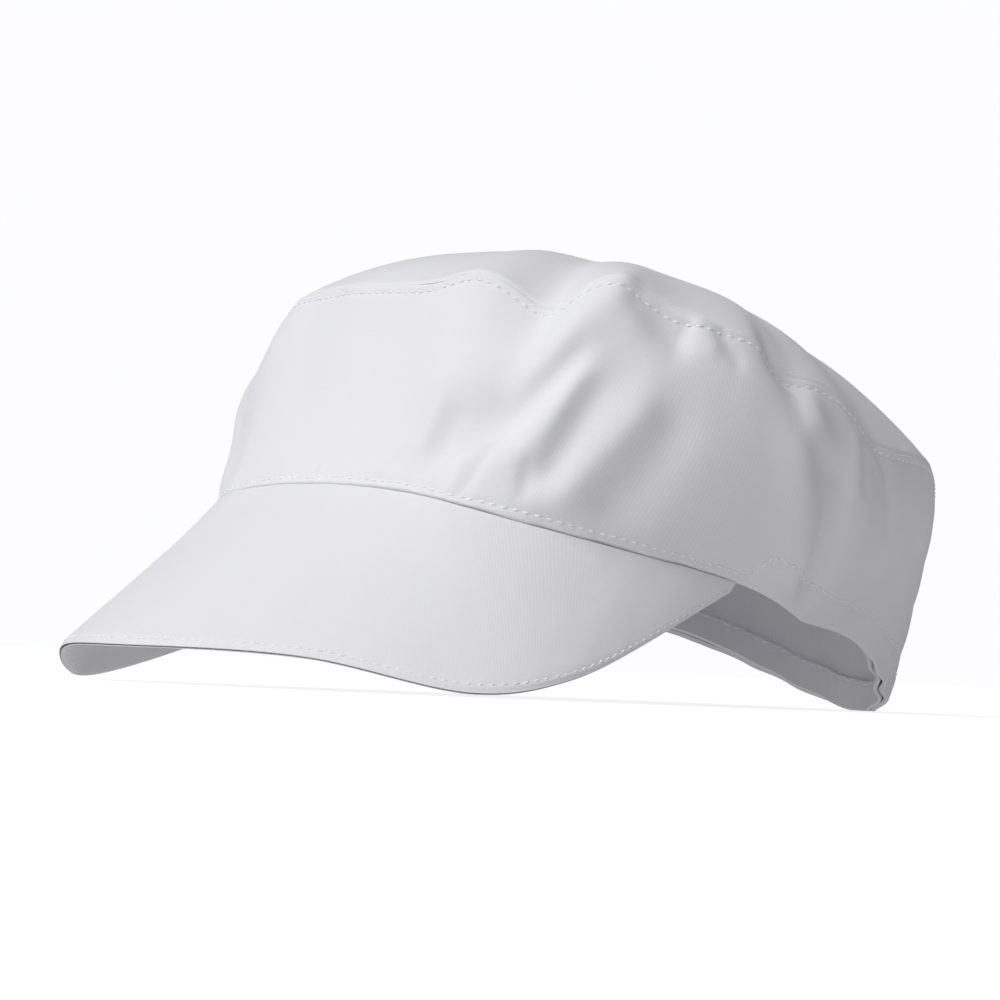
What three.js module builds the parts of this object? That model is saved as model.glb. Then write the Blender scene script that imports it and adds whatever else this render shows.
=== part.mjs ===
// A white food service visor cap of cotton twill, resting on the two lobes of its visor and the nape of its hem.
// Millimetres, +Z up, the visor towards -Y, the wearer's left towards +X. The surface that it rests on is Z = 0,
// and the origin lies on that surface under the middle of the cap.
//
// The crown is a tall side panel closed by an oval top panel. Both are one curved surface, crownPoint, cut at
// the top seam. The visor, made of an upper and an under cover, hangs from the front half of the side panel's
// lower edge. The back half of that edge is turned up inside as a hem band, and it is gathered at the nape.

import * as THREE from 'three';
import { mergeVertices } from 'three/addons/utils/BufferGeometryUtils.js';

// Lower edge of the side panel: the visor seam in front, the open hem behind
const HEM_LENGTH = 200;
const HEM_WIDTH = 158;
const VISOR_SEAM_HEIGHT = 54;

// Top seam, an oval that falls towards the back. Its widest place and the middle of its dome are shares of its
// length from the front, and a squareness below 1 fills the oval's corners out.
const TOP_LENGTH = 171.5;
const TOP_WIDTH = 181;
const TOP_SETBACK = 20;
const TOP_FRONT_HEIGHT = 107.5;
const TOP_BACK_HEIGHT = 53.5;
const TOP_SIDE_RISE = 12;
const TOP_WIDEST_SHARE = 0.39;
const FRONT_SQUARENESS = 0.9;
const BACK_SQUARENESS = 0.95;
const DOME_RISE = 29;
const DOME_MIDDLE_SHARE = 0.54;

// Fullness of the side panel: how far it stands out from the straight line between its two edges
const FRONT_FULLNESS = -1;
const SIDE_FULLNESS = 9.5;
const BACK_FULLNESS = 6;

// Visor, measured on its upper face: reach in front of the visor seam, width, arch above its two lobes, height at
// the lobes, and rise of its middle over the straight line from the seam to the edge. Its end is a share of the
// way to the corner.
const VISOR_REACH = 59;
const VISOR_WIDTH = 184;
const VISOR_ARCH = 8.5;
const VISOR_STAND = 2.1;
const VISOR_CROWN = 1;
const VISOR_END = 0.98;

// Thickness of the cloth, depth of the hem, and the gap that separate pieces keep
const CROWN_CLOTH = 1.5;
const VISOR_CLOTH = 1.6;
const HEM_CLOTH = 1;
const HEM_DEPTH = 8;
const CLEARANCE = 0.3;

// Depth by which the weight presses the cap down where it rests, so that the cloth there lies flat
const REST_PRESS = 0.6;

// Units of the folds and of the top seam's waves, which lean outwards by a share of their rise, and the gathers:
// how far they reach along the hem on each side of the nape, and up the side panel as a share of its height
const FOLD_WIDTH = 8;
const FOLD_DEPTH = 3.4;
const WAVE_WIDTH = 11;
const WAVE_RISE = 6;
const WAVE_LEAN = 0.35;
const GATHER_PITCH = 14;
const GATHER_DEPTH = 0.9;
const GATHER_REACH = 42;
const GATHER_TOP = 0.8;

// Heights, as shares from the lower edge to the top seam: a fold grows from nothing at the lower edge to its whole
// depth at FOLD_FULL, turns from outwards to upwards between the two turns, and has died out at FOLD_END, which
// lies on the top panel.
const FOLD_FULL = 0.15;
const FOLD_TURN_START = 0.6;
const FOLD_TURN_STOP = 1.4;
const FOLD_END = 1.6;

// Fineness of the facets. The nape's own fineness reaches some stations to each side of it, and the hem band stays
// a part of a station clear of the visor's corners.
const STATIONS = 16;
const STEPS_PER_STATION = 6;
const NAPE_STEPS_PER_STATION = 12;
const NAPE_REACH = 2;
const BAND_END_GAP = 0.25;
const SIDE_ROWS = 10;
const TOP_ROWS = 5;
const VISOR_COLUMNS = 36;
const VISOR_ROWS = 6;
const NORMAL_STEP = 0.02;

// Plan sections of the left half, from the front over the visor's corner to the nape. across is a share of half
// HEM_WIDTH, along a share of HEM_LENGTH from the front, high a share of VISOR_SEAM_HEIGHT, and angle is the
// direction of the top seam's point that stands over it, from the front, in degrees.
const SECTIONS = [
  { place: 'front', across: 0, along: 0, high: 1, angle: 0 },
  { place: 'brow', across: 0.37, along: 0.01, high: 0.98, angle: 20 },
  { place: 'temple', across: 0.69, along: 0.049, high: 0.9, angle: 40 },
  { place: 'over the lobe', across: 0.935, along: 0.195, high: 0.755, angle: 61 },
  { place: 'visor corner', across: 0.985, along: 0.414, high: 0.6, angle: 83 },
  { place: 'over the ear', across: 0.835, along: 0.564, high: 0.46, angle: 106 },
  { place: 'behind the ear', across: 0.585, along: 0.7, high: 0.42, angle: 130 },
  { place: 'beside the nape', across: 0.395, along: 0.855, high: 0.29, angle: 155 },
  { place: 'nape', across: 0, along: 1, high: 0, angle: 180 },
];
const CORNER_STATION = SECTIONS.findIndex((section) => section.place === 'visor corner');
const NAPE_STATION = SECTIONS.length - 1;

// Front edge of the visor's left half, from its middle towards the corner. across is a share of half VISOR_WIDTH,
// ahead a share of VISOR_REACH in front of the visor seam, high a share of VISOR_ARCH above the lobes.
const VISOR_EDGE = [
  { place: 'middle', across: 0, ahead: 1, high: 1 },
  { place: 'front bend', across: 0.58, ahead: 0.69, high: 0.85 },
  { place: 'lobe', across: 0.935, ahead: 0.19, high: 0 },
  { place: 'side bend', across: 1, ahead: -0.24, high: 0.5 },
];

// Soft folds of the side panel. Each runs from (angle, height) to (toAngle, toHeight): angles in degrees from the
// front, towards the left, heights as shares from the lower edge to the top seam. wide is a share of FOLD_WIDTH,
// deep a share of FOLD_DEPTH, positive for a ridge and negative for a valley.
const FOLDS = [
  { angle: 50, height: 0.72, toAngle: 40, toHeight: 0.4, wide: 0.9, deep: -0.45 },
  { angle: 36, height: 0.45, toAngle: 29, toHeight: 0.2, wide: 0.8, deep: -0.3 },
  { angle: 51, height: 0.95, toAngle: 24, toHeight: 0.5, wide: 1.1, deep: 0.65 },
  { angle: 49, height: 0.6, toAngle: 44, toHeight: 0.3, wide: 0.6, deep: 0.45 },
  { angle: 55, height: 0.66, toAngle: 48, toHeight: 0.2, wide: 0.8, deep: -0.42 },
  { angle: 60, height: 0.52, toAngle: 53, toHeight: 0.12, wide: 0.7, deep: 0.6 },
  { angle: 64, height: 0.5, toAngle: 60, toHeight: 0.18, wide: 0.9, deep: -0.7 },
  { angle: 54, height: 0.96, toAngle: 62, toHeight: 0.9, wide: 0.6, deep: -0.9 },
  { angle: 84, height: 0.98, toAngle: 89, toHeight: 0.93, wide: 0.65, deep: -1.2 },
  { angle: 91, height: 0.86, toAngle: 92, toHeight: 0.8, wide: 0.7, deep: 0.9 },
  { angle: 88, height: 0.6, toAngle: 92, toHeight: 0.18, wide: 1, deep: 0.8 },
  { angle: 96, height: 0.6, toAngle: 100, toHeight: 0.15, wide: 0.75, deep: -0.9 },
  { angle: 104, height: 0.85, toAngle: 110, toHeight: 0.3, wide: 1, deep: 0.4 },
  { angle: 138, height: 0.5, toAngle: 136, toHeight: 0.1, wide: 0.9, deep: -0.5 },
  { angle: -30, height: 0.86, toAngle: -48, toHeight: 0.74, wide: 1.8, deep: 1.2 },
  { angle: -42, height: 0.4, toAngle: -38, toHeight: 0.25, wide: 1.6, deep: -0.5 },
  { angle: -58, height: 0.9, toAngle: -44, toHeight: 0.2, wide: 1.2, deep: 0.5 },
  { angle: -70, height: 0.8, toAngle: -62, toHeight: 0.2, wide: 1, deep: -0.7 },
  { angle: -100, height: 0.85, toAngle: -98, toHeight: 0.2, wide: 1.1, deep: -0.6 },
  { angle: -135, height: 0.8, toAngle: -140, toHeight: 0.15, wide: 1.3, deep: -0.5 },
];

// Waves of the top seam: wide is a share of WAVE_WIDTH along the seam, rise a share of WAVE_RISE.
const WAVES = [
  { angle: 21, wide: 1, rise: 0.65 },
  { angle: 35, wide: 0.85, rise: -0.8 },
  { angle: 50, wide: 1.3, rise: 0.95 },
  { angle: 90, wide: 1, rise: -0.65 },
  { angle: 111, wide: 1.9, rise: -1.4 },
  { angle: 155, wide: 1.8, rise: -0.4 },
  { angle: -44, wide: 2.6, rise: -1.6 },
  { angle: -80, wide: 1.6, rise: 0.25 },
  { angle: -115, wide: 1.9, rise: -0.8 },
];

const UP = new THREE.Vector3(0, 0, 1);
const DEGREE = Math.PI / 180;
const PANEL_HEIGHT = TOP_FRONT_HEIGHT - VISOR_SEAM_HEIGHT;

// Smooth closed curve through evenly numbered values. The weights of a cubic spline only pass near the values
// that they are given, so these handles are first moved until the curve passes through every value.
function smoothLoop(values) {
  const count = values.length;
  const near = (list, index) => list[((index % count) + count) % count];
  let handles = [...values];
  const passes = 30;
  for (let pass = 0; pass < passes; pass += 1) {
    const reached = (index) => (near(handles, index - 1) + 4 * handles[index] + near(handles, index + 1)) / 6;
    handles = handles.map((handle, index) => handle + values[index] - reached(index));
  }
  return (station) => {
    const index = Math.floor(station);
    const part = station - index;
    const rest = 1 - part;
    return (
      near(handles, index - 1) * rest ** 3 +
      near(handles, index) * (4 - 6 * part ** 2 + 3 * part ** 3) +
      near(handles, index + 1) * (4 - 6 * rest ** 2 + 3 * rest ** 3) +
      near(handles, index + 2) * part ** 3
    ) / 6;
  };
}

// A column of the half table as a loop round the whole cap. The right half has the same values, or with
// side = -1 the opposite ones, as a place across the cap has.
function mirroredLoop(column, side) {
  const rightHalf = column.slice(1, -1).reverse().map((value) => side * value);
  return smoothLoop([...column, ...rightHalf]);
}

const hemAcross = mirroredLoop(SECTIONS.map((section) => section.across * HEM_WIDTH / 2), -1);
const hemAlong = mirroredLoop(SECTIONS.map((section) => section.along * HEM_LENGTH), 1);
const hemHigh = mirroredLoop(SECTIONS.map((section) => section.high * VISOR_SEAM_HEIGHT), 1);
const evenAngle = 360 / STATIONS;
const angleShift = mirroredLoop(SECTIONS.map((section, index) => section.angle - index * evenAngle), -1);

function angleAt(station) {
  const angle = station * evenAngle + angleShift(station);
  return ((angle + 540) % 360) - 180;
}

function hemPoint(station) {
  return new THREE.Vector3(hemAcross(station), hemAlong(station), hemHigh(station) - REST_PRESS);
}

// Horizontal direction away from the middle of the cap
function outward(station) {
  const angle = angleAt(station) * DEGREE;
  return new THREE.Vector3(Math.sin(angle), -Math.cos(angle), 0);
}

// Length along the top seam between two angles, taken the short way round
function seamRun(angle, otherAngle) {
  const turn = ((angle - otherAngle + 540) % 360) - 180;
  return turn * DEGREE * TOP_WIDTH / 2;
}

function waveRise(station) {
  const angle = angleAt(station);
  return WAVES.reduce((sum, wave) => {
    const share = seamRun(angle, wave.angle) / (wave.wide * WAVE_WIDTH);
    return sum + wave.rise * WAVE_RISE * Math.exp(-(share ** 2));
  }, 0);
}

// Point of the top panel, from its middle, inward = 0, to the top seam, inward = 1. A plane that falls towards the
// back carries the dome, and the seam's own height over that plane and its waves die out towards the middle. The
// tilt bends the seam so that it falls equally steeply on both sides of its widest place. A wave that rises also
// leans outwards by a share of its rise.
function topPoint(station, inward) {
  const angle = angleAt(station) * DEGREE;
  const cosine = Math.cos(angle);
  const sine = Math.sin(angle);
  const middle = TOP_SETBACK + TOP_LENGTH * DOME_MIDDLE_SHARE;
  const widest = TOP_SETBACK + TOP_LENGTH * TOP_WIDEST_SHARE;
  const reach = TOP_LENGTH * (cosine > 0 ? TOP_WIDEST_SHARE : 1 - TOP_WIDEST_SHARE);
  const squareness = cosine > 0 ? FRONT_SQUARENESS : BACK_SQUARENESS;
  const across = Math.sign(sine) * Math.abs(sine) ** squareness * TOP_WIDTH / 2;
  const along = widest - reach * cosine;
  const level = Math.abs(cosine);
  const tilt = cosine * (level + (1 - level) * 2 * reach / TOP_LENGTH);
  const seamHeight = (TOP_FRONT_HEIGHT + TOP_BACK_HEIGHT + (TOP_FRONT_HEIGHT - TOP_BACK_HEIGHT) * tilt) / 2
    + TOP_SIDE_RISE * sine ** 2;
  const fall = (TOP_FRONT_HEIGHT - TOP_BACK_HEIGHT) / TOP_LENGTH;
  const plane = (place) => TOP_FRONT_HEIGHT - fall * (place - TOP_SETBACK);
  const wave = waveRise(station) * inward ** 4;
  const place = middle + (along - middle) * inward;
  const rise = (seamHeight - plane(along)) * inward ** 3 + DOME_RISE * (1 - inward ** 3);
  const point = new THREE.Vector3(across * inward, place, plane(place) + rise + wave);
  return point.addScaledVector(outward(station), WAVE_LEAN * wave);
}

function fullness(station) {
  const cosine = Math.cos(angleAt(station) * DEGREE);
  const end = cosine > 0 ? FRONT_FULLNESS : BACK_FULLNESS;
  return SIDE_FULLNESS * (1 - cosine ** 2) + end * cosine ** 2;
}

// Depth of all folds together at an angle and a height of the crown, measured on the panel laid flat
function foldDepth(angle, height) {
  return FOLDS.reduce((sum, fold) => {
    const run = new THREE.Vector2(
      seamRun(fold.toAngle, fold.angle),
      (fold.toHeight - fold.height) * PANEL_HEIGHT,
    );
    const place = new THREE.Vector2(seamRun(angle, fold.angle), (height - fold.height) * PANEL_HEIGHT);
    const share = THREE.MathUtils.clamp(place.dot(run) / run.lengthSq(), 0, 1);
    const away = place.addScaledVector(run, -share).length() / (fold.wide * FOLD_WIDTH);
    return sum + fold.deep * FOLD_DEPTH * Math.exp(-(away ** 2));
  }, 0);
}

// Small upright gathers where the elastic draws the nape together, strongest at the hem
function gatherDepth(station, height) {
  const side = Math.sign(station - NAPE_STATION);
  const run = side * hemPoint(station).distanceTo(hemPoint(NAPE_STATION));
  const fade = 1 - THREE.MathUtils.smoothstep(height, 0, GATHER_TOP);
  const strength = Math.exp(-((run / GATHER_REACH) ** 4)) * fade;
  return GATHER_DEPTH * strength * Math.cos(2 * Math.PI * run / GATHER_PITCH);
}

// The crown as one surface: height 0 is the lower edge, 1 the top seam and 2 the middle of the top panel.
// Folds push straight out on the side panel and turn upwards over the seam.
function crownPoint(station, height) {
  const place = ((station % STATIONS) + STATIONS) % STATIONS;
  const point = height > 1 ? topPoint(place, 2 - height) : hemPoint(place).lerp(topPoint(place, 1), height);
  const away = outward(place);
  if (height <= 1) {
    point.addScaledVector(away, 4 * height * (1 - height) * fullness(place));
  }
  const lean = THREE.MathUtils.smoothstep(height, FOLD_TURN_START, FOLD_TURN_STOP) * Math.PI / 2;
  const clearOfEdge = THREE.MathUtils.smoothstep(height, 0, FOLD_FULL);
  const fade = 1 - THREE.MathUtils.smoothstep(height, 1, FOLD_END);
  const depth = foldDepth(angleAt(place), height) * clearOfEdge * fade;
  point.addScaledVector(away, depth * Math.cos(lean) + gatherDepth(place, height));
  return point.addScaledVector(UP, depth * Math.sin(lean));
}

// Smooth curve of the visor's front edge, on its upper face, from the right corner to the left one
const halfEdge = VISOR_EDGE.map((row) => new THREE.Vector3(
  row.across * VISOR_WIDTH / 2,
  -row.ahead * VISOR_REACH,
  row.high * VISOR_ARCH + VISOR_STAND - REST_PRESS,
));
const rightHalfEdge = halfEdge.slice(1).reverse().map((point) => point.clone().setX(-point.x));
const visorEdge = new THREE.CatmullRomCurve3(
  [hemPoint(-CORNER_STATION), ...rightHalfEdge, ...halfEdge, hemPoint(CORNER_STATION)],
  false,
  'centripetal',
);

// Upper face of the visor: across runs from -1 at the right corner to 1 at the left one, and ahead from 0 at the
// seam, a clearance outside the side panel's lower edge, to 1 at the front edge.
function visorPoint(across, ahead) {
  const station = across * CORNER_STATION;
  const root = crownPoint(station, 0).addScaledVector(normalAt(crownPoint, station, 0), CLEARANCE);
  const point = root.lerp(visorEdge.getPoint((across + 1) / 2), ahead);
  return point.addScaledVector(UP, 4 * ahead * (1 - ahead) * VISOR_CROWN * (1 - across ** 2));
}

function normalAt(surface, u, v) {
  const alongU = surface(u + NORMAL_STEP, v).sub(surface(u - NORMAL_STEP, v));
  const alongV = surface(u, v + NORMAL_STEP).sub(surface(u, v - NORMAL_STEP));
  const normal = alongU.cross(alongV);
  return normal.lengthSq() === 0 ? UP.clone() : normal.normalize();
}

// Cloth is pressed flat where the cap rests, so nothing reaches below the surface.
function rested(point) {
  return point.setZ(Math.max(point.z, 0));
}

// Closed solid of cloth between two skins of a surface, at the distances near and far along its normal. With
// closed, the last column joins the first one, as round a crown.
function clothWall(surface, us, vs, near, far, closed) {
  const skins = [near, far].map((distance) => us.map((u) => vs.map((v) => {
    const normal = normalAt(surface, u, v);
    return rested(surface(u, v).addScaledVector(normal, distance));
  })));
  const [inner, outer] = skins;
  const corners = [];
  const triangle = (a, b, c) => {
    if (!a.equals(b) && !b.equals(c) && !c.equals(a)) {
      corners.push(a, b, c);
    }
  };
  const quad = (a, b, c, d) => {
    triangle(a, b, c);
    triangle(a, c, d);
  };
  const columns = closed ? us.length : us.length - 1;
  const last = vs.length - 1;
  for (let i = 0; i < columns; i += 1) {
    const k = (i + 1) % us.length;
    for (let j = 0; j < last; j += 1) {
      quad(outer[i][j], outer[k][j], outer[k][j + 1], outer[i][j + 1]);
      quad(inner[i][j], inner[i][j + 1], inner[k][j + 1], inner[k][j]);
    }
    quad(inner[i][0], inner[k][0], outer[k][0], outer[i][0]);
    quad(outer[i][last], outer[k][last], inner[k][last], inner[i][last]);
  }
  if (!closed) {
    const end = us.length - 1;
    for (let j = 0; j < last; j += 1) {
      quad(inner[0][j], outer[0][j], outer[0][j + 1], inner[0][j + 1]);
      quad(inner[end][j], inner[end][j + 1], outer[end][j + 1], outer[end][j]);
    }
  }
  const geometry = new THREE.BufferGeometry().setFromPoints(corners);
  return mergeVertices(geometry);
}

function evenSteps(from, to, count) {
  return Array.from({ length: count + 1 }, (_, index) => from + (to - from) * index / count);
}

// Stations round the crown from start to end, closer together round the gathered nape
function stationSteps(start, end) {
  const nearNape = (station) => Math.abs(station - NAPE_STATION) < NAPE_REACH;
  const stations = [];
  for (let station = start; station < end;) {
    stations.push(station);
    station += 1 / (nearNape(station) ? NAPE_STEPS_PER_STATION : STEPS_PER_STATION);
  }
  return stations;
}

// The two panels of the crown meet at the top seam and leave half the clearance each. Their facets share the
// same stations, and so do the hem band's, whose upper edge is the side panel's first row of facets.
const RING = stationSteps(0, STATIONS);
const HEM_TOP = HEM_DEPTH / PANEL_HEIGHT;
const SIDE_HEIGHTS = [0, ...evenSteps(HEM_TOP, 1 - CLEARANCE / 2 / PANEL_HEIGHT, SIDE_ROWS - 1)];

function crownSide() {
  return clothWall(crownPoint, RING, SIDE_HEIGHTS, -CROWN_CLOTH, 0, true);
}

function crownTop() {
  const rim = 1 + CLEARANCE / TOP_WIDTH;
  return clothWall(crownPoint, RING, evenSteps(rim, 2, TOP_ROWS), -CROWN_CLOTH, 0, true);
}

// The visor's covers stop short of the pointed corners, where the seam ends in a bar of stitches.
function visorCover(top) {
  const columns = evenSteps(-VISOR_END, VISOR_END, VISOR_COLUMNS);
  return clothWall(visorPoint, columns, evenSteps(0, 1, VISOR_ROWS), top, top + VISOR_CLOTH, false);
}

// Turned-up hem inside the open back, from corner to corner round the nape
function hemBand() {
  const from = CORNER_STATION + BAND_END_GAP;
  const stations = RING.filter((station) => station > from && station < STATIONS - from);
  const outer = -CROWN_CLOTH - CLEARANCE;
  return clothWall(crownPoint, stations, [0, HEM_TOP], outer - HEM_CLOTH, outer, false);
}

const COTTON = { color: 0xe3e4e9, roughness: 0.92, metalness: 0 };

function clothMesh(name, geometry, shade) {
  const material = new THREE.MeshStandardMaterial(COTTON);
  material.color.multiplyScalar(shade);
  const mesh = new THREE.Mesh(geometry, material);
  mesh.name = name;
  return mesh;
}

const cap = new THREE.Group();
cap.add(clothMesh('crown_side', crownSide(), 1));
cap.add(clothMesh('crown_top', crownTop(), 1));
cap.add(clothMesh('visor_upper', visorCover(0), 1));
cap.add(clothMesh('visor_under', visorCover(VISOR_CLOTH + CLEARANCE), 0.97));
cap.add(clothMesh('hem_band', hemBand(), 0.97));

// The origin goes under the middle of the cap.
const box = new THREE.Box3().setFromObject(cap);
const middle = box.getCenter(new THREE.Vector3());
cap.position.set(-middle.x, -middle.y, 0);

export default cap;
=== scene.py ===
# %% [markdown]
# # A white food service visor cap
# The real cap is sewn from cotton twill: a tall side panel, an oval top panel, a curved visor of two covers, and
# a hem turned up inside the open back. It lies on a floor as it would by itself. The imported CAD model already
# has every panel at its true place and size, so this script only dresses it: each panel becomes a finer sheet of
# cloth with its seams, puckers, stitches and weave.

import math

import bpy
import numpy as np
from mathutils import Matrix, Vector


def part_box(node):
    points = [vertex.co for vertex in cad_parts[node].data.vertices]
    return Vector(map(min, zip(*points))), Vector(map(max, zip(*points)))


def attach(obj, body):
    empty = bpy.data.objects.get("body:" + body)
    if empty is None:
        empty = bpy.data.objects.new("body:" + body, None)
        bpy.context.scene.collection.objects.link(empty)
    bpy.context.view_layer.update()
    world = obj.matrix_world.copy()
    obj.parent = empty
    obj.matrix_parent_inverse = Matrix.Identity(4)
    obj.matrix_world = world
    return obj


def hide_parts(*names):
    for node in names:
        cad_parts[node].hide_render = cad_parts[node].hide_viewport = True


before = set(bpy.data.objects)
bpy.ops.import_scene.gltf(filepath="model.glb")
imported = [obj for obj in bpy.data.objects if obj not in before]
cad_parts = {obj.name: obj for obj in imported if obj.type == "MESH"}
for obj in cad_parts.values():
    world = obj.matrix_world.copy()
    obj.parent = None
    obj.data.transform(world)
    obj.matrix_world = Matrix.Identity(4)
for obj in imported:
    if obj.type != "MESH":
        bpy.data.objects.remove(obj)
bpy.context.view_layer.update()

# %% [markdown]
# ## The measures of the cap
# A pattern cutter works from a few measures, and so does this script. Lengths are in millimetres here, because
# that is how a cap is measured, and they are turned into metres where points are made. The tables hold shares of
# the measures, one row for each section, fold or wave.

# %% Measures
MM = 0.001
HEM_LENGTH, HEM_WIDTH, SEAM_HEIGHT = 200, 158, 54
TOP_LENGTH, TOP_WIDTH, TOP_SETBACK = 171.5, 181, 20
TOP_FRONT, TOP_BACK, TOP_SIDE_RISE, DOME_RISE = 107.5, 53.5, 12, 29
TOP_WIDEST, DOME_MIDDLE = 0.39, 0.54
FRONT_SQUARENESS, BACK_SQUARENESS = 0.9, 0.95
FRONT_FULLNESS, SIDE_FULLNESS, BACK_FULLNESS = -1, 9.5, 6
VISOR_REACH, VISOR_WIDTH, VISOR_ARCH = 59, 184, 8.5
VISOR_STAND, VISOR_CROWN, VISOR_END = 2.1, 1, 0.98
PRESS, CLEARANCE = 0.6, 0.3
FOLD_WIDTH, FOLD_DEPTH, WAVE_WIDTH, WAVE_RISE, WAVE_LEAN = 8, 3.4, 11, 6, 0.35
FOLD_FULL, FOLD_TURN_START, FOLD_TURN_STOP, FOLD_END = 0.15, 0.6, 1.4, 1.6
GATHER_PITCH, GATHER_DEPTH, GATHER_REACH, GATHER_TOP = 14, 0.9, 42, 0.8
STATIONS, CORNER, NAPE = 16, 4, 8
PANEL_HEIGHT = TOP_FRONT - SEAM_HEIGHT

# across, along, high, angle
SECTIONS = [
    (0, 0, 1, 0),
    (0.37, 0.01, 0.98, 20),
    (0.69, 0.049, 0.9, 40),
    (0.935, 0.195, 0.755, 61),
    (0.985, 0.414, 0.6, 83),
    (0.835, 0.564, 0.46, 106),
    (0.585, 0.7, 0.42, 130),
    (0.395, 0.855, 0.29, 155),
    (0, 1, 0, 180),
]
# across, ahead, high
VISOR_EDGE = [(0, 1, 1), (0.58, 0.69, 0.85), (0.935, 0.19, 0), (1, -0.24, 0.5)]
# angle, wide, rise
WAVES = [
    (21, 1, 0.65),
    (35, 0.85, -0.8),
    (50, 1.3, 0.95),
    (90, 1, -0.65),
    (111, 1.9, -1.4),
    (155, 1.8, -0.4),
    (-44, 2.6, -1.6),
    (-80, 1.6, 0.25),
    (-115, 1.9, -0.8),
]
# angle, height, to angle, to height, wide, deep
FOLDS = [
    (50, 0.72, 40, 0.4, 0.9, -0.45),
    (36, 0.45, 29, 0.2, 0.8, -0.3),
    (51, 0.95, 24, 0.5, 1.1, 0.65),
    (49, 0.6, 44, 0.3, 0.6, 0.45),
    (55, 0.66, 48, 0.2, 0.8, -0.42),
    (60, 0.52, 53, 0.12, 0.7, 0.6),
    (64, 0.5, 60, 0.18, 0.9, -0.7),
    (54, 0.96, 62, 0.9, 0.6, -0.9),
    (84, 0.98, 89, 0.93, 0.65, -1.2),
    (91, 0.86, 92, 0.8, 0.7, 0.9),
    (88, 0.6, 92, 0.18, 1, 0.8),
    (96, 0.6, 100, 0.15, 0.75, -0.9),
    (104, 0.85, 110, 0.3, 1, 0.4),
    (138, 0.5, 136, 0.1, 0.9, -0.5),
    (-30, 0.86, -48, 0.74, 1.8, 1.2),
    (-42, 0.4, -38, 0.25, 1.6, -0.5),
    (-58, 0.9, -44, 0.2, 1.2, 0.5),
    (-70, 0.8, -62, 0.2, 1, -0.7),
    (-100, 0.85, -98, 0.2, 1.1, -0.6),
    (-135, 0.8, -140, 0.15, 1.3, -0.5),
]
print(len(SECTIONS), "sections,", len(FOLDS), "folds,", len(WAVES), "seam waves")

# %% [markdown]
# ## The crown as one curved surface
# The side panel and the top panel meet at a seam, so they are worked out as one surface. A station runs round
# the cap, 0 at the front and 8 at the nape, and a height runs from 0 at the lower edge over 1 at the top seam to
# 2 in the middle of the top. Numpy works out all points of a panel at once.

# %% Smooth closed curves through the sections
SOLVER_ROUNDS = 30
EVEN_ANGLE = 360 / STATIONS


def soft(share):
    return share * share * (3 - 2 * share)


def smoothstep(low, high, x):
    return soft(np.clip((x - low) / (high - low), 0, 1))


def half_turn(angle):
    """The same angle between -180 and 180 degrees."""
    return (angle + 540) % 360 - 180


def smooth_loop(values):
    """A closed cubic spline that runs through evenly spaced values."""
    values = np.array(values, float)
    handles = values.copy()
    for _ in range(SOLVER_ROUNDS):
        handles += values - (np.roll(handles, 1) + 4 * handles + np.roll(handles, -1)) / 6

    def curve(station):
        index = np.floor(station).astype(int)
        part = station - index
        rest = 1 - part
        near = [handles[(index + k) % len(handles)] for k in (-1, 0, 1, 2)]
        weights = [rest**3, 4 - 6 * part**2 + 3 * part**3, 4 - 6 * rest**2 + 3 * rest**3, part**3]
        return sum(n * w for n, w in zip(near, weights)) / 6

    return curve


def mirrored_loop(column, side=1):
    return smooth_loop(list(column) + [side * v for v in reversed(column[1:-1])])


columns = [list(c) for c in zip(*SECTIONS)]
hem_across = mirrored_loop([v * HEM_WIDTH / 2 for v in columns[0]], -1)
hem_along = mirrored_loop([v * HEM_LENGTH for v in columns[1]])
hem_high = mirrored_loop([v * SEAM_HEIGHT for v in columns[2]])
angle_shift = mirrored_loop([v - i * EVEN_ANGLE for i, v in enumerate(columns[3])], -1)


def angle_at(station):
    return half_turn(station * EVEN_ANGLE + angle_shift(station))


def hem_point(station):
    return np.stack([hem_across(station), hem_along(station), hem_high(station) - PRESS], -1)


def seam_run(angle, other):
    """Millimetres along the top seam from one angle to another."""
    return np.radians(half_turn(angle - other)) * TOP_WIDTH / 2


print("hem, front and nape:", hem_point(np.array([0.0, NAPE])).round(1).tolist())

# %% [markdown]
# The top is a tilted plane, high in front and low at the back, with a dome on it. Its seam rises and falls in
# waves. The folds are ridges and hollows along short straight lines, pushed outwards on the side panel and
# upwards on the top.

# %% The top panel, the folds and the whole crown
WAVE_FADE, DOME_FADE = 4, 3


def top_plane(along):
    return TOP_FRONT - (TOP_FRONT - TOP_BACK) / TOP_LENGTH * (along - TOP_SETBACK)


def seam_wave(angle):
    return sum(
        rise * WAVE_RISE * np.exp(-((seam_run(angle, at) / (wide * WAVE_WIDTH)) ** 2))
        for at, wide, rise in WAVES
    )


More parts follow.
